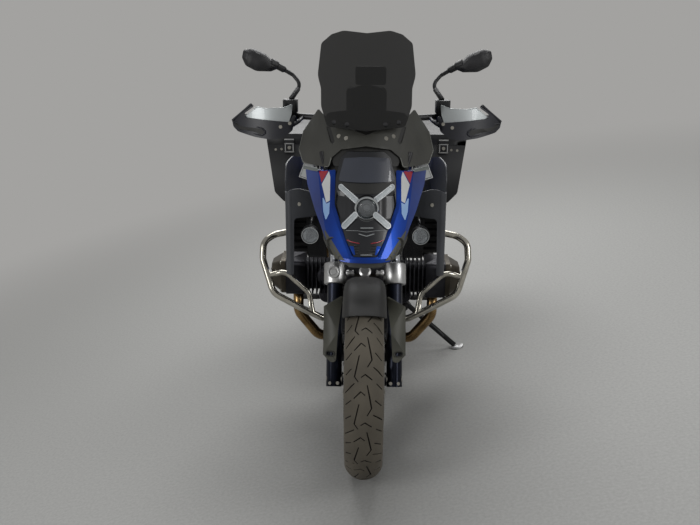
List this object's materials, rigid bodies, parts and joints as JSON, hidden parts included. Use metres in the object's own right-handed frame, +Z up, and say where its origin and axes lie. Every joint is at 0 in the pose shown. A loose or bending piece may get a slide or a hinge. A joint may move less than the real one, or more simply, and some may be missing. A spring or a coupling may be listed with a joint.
{
  "type": "adventure motorcycle",
  "caption": "Adventure motorcycle leaning on its side stand: flat-twin engine, wire wheels, tall screen, hand guards, crash bars and two lidded hard cases.",
  "frame": {"origin": "on the floor, below the middle of the bounding box of the parked motorcycle", "axes": "+Y from the front wheel to the rear wheel, +Z up from the floor, +X towards the left side, on which the side stand is; the bike leans 11 degrees towards +X"},
  "size_m": [0.9654, 2.2149, 1.4154],
  "materials": {
    "tyre": "worn tread rubber",
    "rim_black": "black powder coat",
    "hub_steel": "machined",
    "disc_steel": "ground steel",
    "fork_grey": "dark anodised",
    "stanchion_chrome": "hard chrome",
    "cast_silver": "painted casting",
    "bar_black": "satin black",
    "grip_rubber": "ribbed",
    "switch_plastic": "fine grain",
    "guard_plastic": "fine grain",
    "blue_paint": "metallic clear coat",
    "frame_paint": "satin powder coat",
    "engine_cast": "dark sand cast",
    "exhaust_steel": "heat tinted",
    "shock_steel": "sprung steel",
    "lamp_gloss": "gloss",
    "panel_plastic": "grained",
    "screen_tint": "smoked acrylic",
    "tube_steel": "polished stainless",
    "seat_vinyl": "grained vinyl",
    "case_plastic": "grained"
  },
  "bodies": {
    "chassis": {"main_frame": "frame_paint", "front_arm": "frame_paint", "engine_block": "engine_cast", "cylinders": "engine_cast", "head_covers": "engine_cast", "intake_ducts": "panel_plastic", "exhaust_header": "exhaust_steel", "silencer": "exhaust_steel", "swing_arm": "frame_paint", "final_drive": "engine_cast", "rear_shock": "shock_steel", "front_shock": "shock_steel", "front_fairing": "blue_paint", "headlight": "lamp_gloss", "nose_lining": "panel_plastic", "windscreen": "screen_tint", "cockpit_cowl": "panel_plastic", "instrument_display": "switch_plastic", "navigation_unit": "switch_plastic", "fairing_carrier": "frame_paint", "fuel_tank": "panel_plastic", "radiators": "engine_cast", "auxiliary_lamps": "lamp_gloss", "crash_bars": "tube_steel", "skid_plate": "cast_silver", "rear_frame": "frame_paint", "side_shrouds": "panel_plastic", "rider_seat": "seat_vinyl", "pillion_seat": "seat_vinyl", "case_carriers": "tube_steel", "luggage_rack": "frame_paint", "tail_unit": "panel_plastic", "rear_mudguard": "panel_plastic", "footrests": "tube_steel", "pannier_left": "case_plastic", "pannier_right": "case_plastic"},
    "steering": {"fork_sliders": "fork_grey", "fork_stanchions": "stanchion_chrome", "fork_bridge": "cast_silver", "top_bridge": "cast_silver", "handlebar": "bar_black", "grips": "grip_rubber", "bar_controls": "switch_plastic", "hand_guards": "guard_plastic", "mirrors": "guard_plastic", "front_fender": "guard_plastic", "fork_guards": "guard_plastic", "brake_calipers": "cast_silver", "front_axle": "hub_steel"},
    "front_wheel": {"front_tyre": "tyre", "front_rim": "rim_black", "front_hub": "hub_steel", "front_discs": "disc_steel"},
    "rear_wheel": {"rear_tyre": "tyre", "rear_rim": "rim_black", "rear_hub": "hub_steel", "rear_disc": "disc_steel"},
    "side_stand": {"side_stand": "frame_paint"},
    "pannier_lid_left": {"pannier_lid_left": "case_plastic"},
    "pannier_lid_right": {"pannier_lid_right": "case_plastic"}
  },
  "joints": [
    {"name": "steering", "type": "hinge", "parent": "chassis", "child": "steering", "pos_m": [-0.02014, -0.41897, 0.94982], "axis": [0.1712, 0.4415, 0.8808], "range_deg": [-35, 35]},
    {"name": "front_wheel_spin", "type": "hinge", "parent": "steering", "child": "front_wheel", "pos_m": [-0.14252, -0.7825, 0.32021], "axis": [0.9816, 0, -0.1908], "continuous": true},
    {"name": "rear_wheel_spin", "type": "hinge", "parent": "chassis", "child": "rear_wheel", "pos_m": [-0.14375, 0.7355, 0.3139], "axis": [0.9816, 0, -0.1908], "continuous": true},
    {"name": "side_stand_fold", "type": "hinge", "parent": "chassis", "child": "side_stand", "pos_m": [0.01996, 0.1425, 0.22322], "axis": [0.7737, 0, 0.6335], "range_deg": [0, 100]},
    {"name": "pannier_lid_left_hinge", "type": "hinge", "parent": "chassis", "child": "pannier_lid_left", "pos_m": [-0.03042, 0.8365, 0.89691], "axis": [-0.9816, 0, 0.1908], "range_deg": [0, 95]},
    {"name": "pannier_lid_right_hinge", "type": "hinge", "parent": "chassis", "child": "pannier_lid_right", "pos_m": [-0.03042, 0.8365, 0.89691], "axis": [-0.9816, 0, 0.1908], "range_deg": [0, 95]}
  ]
}
